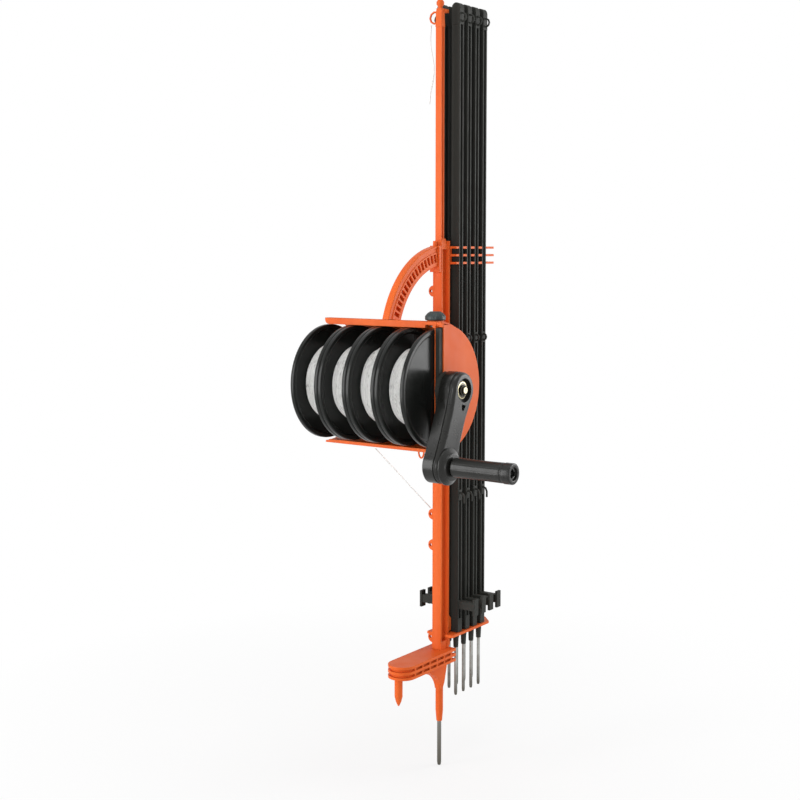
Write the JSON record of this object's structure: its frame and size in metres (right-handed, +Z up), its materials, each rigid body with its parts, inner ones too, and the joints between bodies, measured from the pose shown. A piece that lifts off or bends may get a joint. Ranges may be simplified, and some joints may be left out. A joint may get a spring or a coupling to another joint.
{
  "type": "portable electric fence unit",
  "caption": "Portable electric fence unit: lead post with tread foot, wire reels under a half-barrel guard with a hand crank, carry handle, and a rack of step-in line posts.",
  "frame": {"origin": "on the lead post at ground level, 4 mm below the tread foot's underside", "axes": "+Z up the lead post, +X along the reel axle towards the crank, +Y from the lead post towards the line posts"},
  "size_m": [0.4005, 0.3805, 1.299],
  "materials": {
    "orange_moulding": "satin moulded plastic",
    "black_moulding": "satin moulded plastic",
    "dark_knob": "satin moulded plastic",
    "steel": "zinc plated",
    "bright_plate": "bright plated",
    "polywire": "twisted polymer and steel strands"
  },
  "bodies": {
    "frame": {"lead_post": "orange_moulding", "lead_post_spike": "steel", "tread_foot": "orange_moulding", "upper_comb": "orange_moulding", "lower_tray": "orange_moulding", "reel_guard": "orange_moulding", "guard_end_cap": "orange_moulding", "guard_bracket": "orange_moulding", "bracket_bolt_lower": "steel", "bracket_bolt_upper": "steel", "guard_screw_lower": "steel", "guard_screw_upper": "steel", "carry_handle": "orange_moulding", "axle_bush": "black_moulding", "fence_wire_strand": "polywire", "fence_wire_tail": "polywire", "bearing_plate": "black_moulding"},
    "crank": {"reel_axle": "steel", "axle_end_washer": "steel", "axle_end_nut": "steel", "crank_arm": "black_moulding", "crank_washer": "bright_plate", "crank_bolt": "bright_plate", "grip_spindle": "steel", "grip_collar": "black_moulding"},
    "grip": {"grip_sleeve": "black_moulding", "grip_end_plug": "black_moulding"},
    "reel_1": {"reel_bobbin_1": "black_moulding", "wire_winding_1": "polywire"},
    "reel_2": {"reel_bobbin_2": "black_moulding", "wire_winding_2": "polywire"},
    "reel_3": {"reel_bobbin_3": "black_moulding", "wire_winding_3": "polywire"},
    "reel_4": {"reel_bobbin_4": "black_moulding", "wire_winding_4": "polywire"},
    "brake_knob": {"brake_knob": "dark_knob"},
    "brake_shoe": {"brake_shoe": "steel"},
    "line_post_1": {"line_post_1": "black_moulding", "line_post_spike_1": "steel"},
    "line_post_2": {"line_post_2": "black_moulding", "line_post_spike_2": "steel"},
    "line_post_3": {"line_post_3": "black_moulding", "line_post_spike_3": "steel"},
    "line_post_4": {"line_post_4": "black_moulding", "line_post_spike_4": "steel"},
    "line_post_5": {"line_post_5": "black_moulding", "line_post_spike_5": "steel"},
    "line_post_6": {"line_post_6": "black_moulding", "line_post_spike_6": "steel"},
    "line_post_7": {"line_post_7": "black_moulding", "line_post_spike_7": "steel"},
    "line_post_8": {"line_post_8": "black_moulding", "line_post_spike_8": "steel"},
    "line_post_9": {"line_post_9": "black_moulding", "line_post_spike_9": "steel"}
  },
  "joints": [
    {"name": "crank_spin", "type": "hinge", "parent": "frame", "child": "crank", "pos_m": [0, -0.155, 0.492], "axis": [1, 0, 0], "continuous": true},
    {"name": "grip_spin", "type": "hinge", "parent": "crank", "child": "grip", "pos_m": [0, -0.20107, 0.38022], "axis": [1, 0, 0], "continuous": true},
    {"name": "reel_1_spin", "type": "hinge", "parent": "frame", "child": "reel_1", "pos_m": [0, -0.155, 0.492], "axis": [1, 0, 0], "continuous": true},
    {"name": "reel_2_spin", "type": "hinge", "parent": "frame", "child": "reel_2", "pos_m": [0, -0.155, 0.492], "axis": [1, 0, 0], "continuous": true},
    {"name": "reel_3_spin", "type": "hinge", "parent": "frame", "child": "reel_3", "pos_m": [0, -0.155, 0.492], "axis": [1, 0, 0], "continuous": true},
    {"name": "reel_4_spin", "type": "hinge", "parent": "frame", "child": "reel_4", "pos_m": [0, -0.155, 0.492], "axis": [1, 0, 0], "continuous": true},
    {"name": "brake_knob_turn", "type": "hinge", "parent": "frame", "child": "brake_knob", "pos_m": [0.0855, -0.144, 0.5973], "axis": [0, 0, 1], "range_deg": [0, 540]},
    {"name": "brake_shoe_slide", "type": "slide", "parent": "frame", "child": "brake_shoe", "axis": [0, 0, -1], "range_m": [0, 0.0015]},
    {"name": "line_post_1_lift", "type": "slide", "parent": "frame", "child": "line_post_1", "axis": [0, 0, 1], "range_m": [0, 0.115]},
    {"name": "line_post_2_lift", "type": "slide", "parent": "frame", "child": "line_post_2", "axis": [0, 0, 1], "range_m": [0, 0.115]},
    {"name": "line_post_3_lift", "type": "slide", "parent": "frame", "child": "line_post_3", "axis": [0, 0, 1], "range_m": [0, 0.115]},
    {"name": "line_post_4_lift", "type": "slide", "parent": "frame", "child": "line_post_4", "axis": [0, 0, 1], "range_m": [0, 0.115]},
    {"name": "line_post_5_lift", "type": "slide", "parent": "frame", "child": "line_post_5", "axis": [0, 0, 1], "range_m": [0, 0.115]},
    {"name": "line_post_6_lift", "type": "slide", "parent": "frame", "child": "line_post_6", "axis": [0, 0, 1], "range_m": [0, 0.115]},
    {"name": "line_post_7_lift", "type": "slide", "parent": "frame", "child": "line_post_7", "axis": [0, 0, 1], "range_m": [0, 0.115]},
    {"name": "line_post_8_lift", "type": "slide", "parent": "frame", "child": "line_post_8", "axis": [0, 0, 1], "range_m": [0, 0.115]},
    {"name": "line_post_9_lift", "type": "slide", "parent": "frame", "child": "line_post_9", "axis": [0, 0, 1], "range_m": [0, 0.115]}
  ],
  "couplings": [
    {"joint": "reel_1_spin", "follows": "crank_spin", "ratio": 1},
    {"joint": "reel_2_spin", "follows": "crank_spin", "ratio": 1},
    {"joint": "reel_3_spin", "follows": "crank_spin", "ratio": 1},
    {"joint": "reel_4_spin", "follows": "crank_spin", "ratio": 1},
    {"joint": "brake_shoe_slide", "follows": "brake_knob_turn", "m_per_rad": 0.00015915}
  ]
}
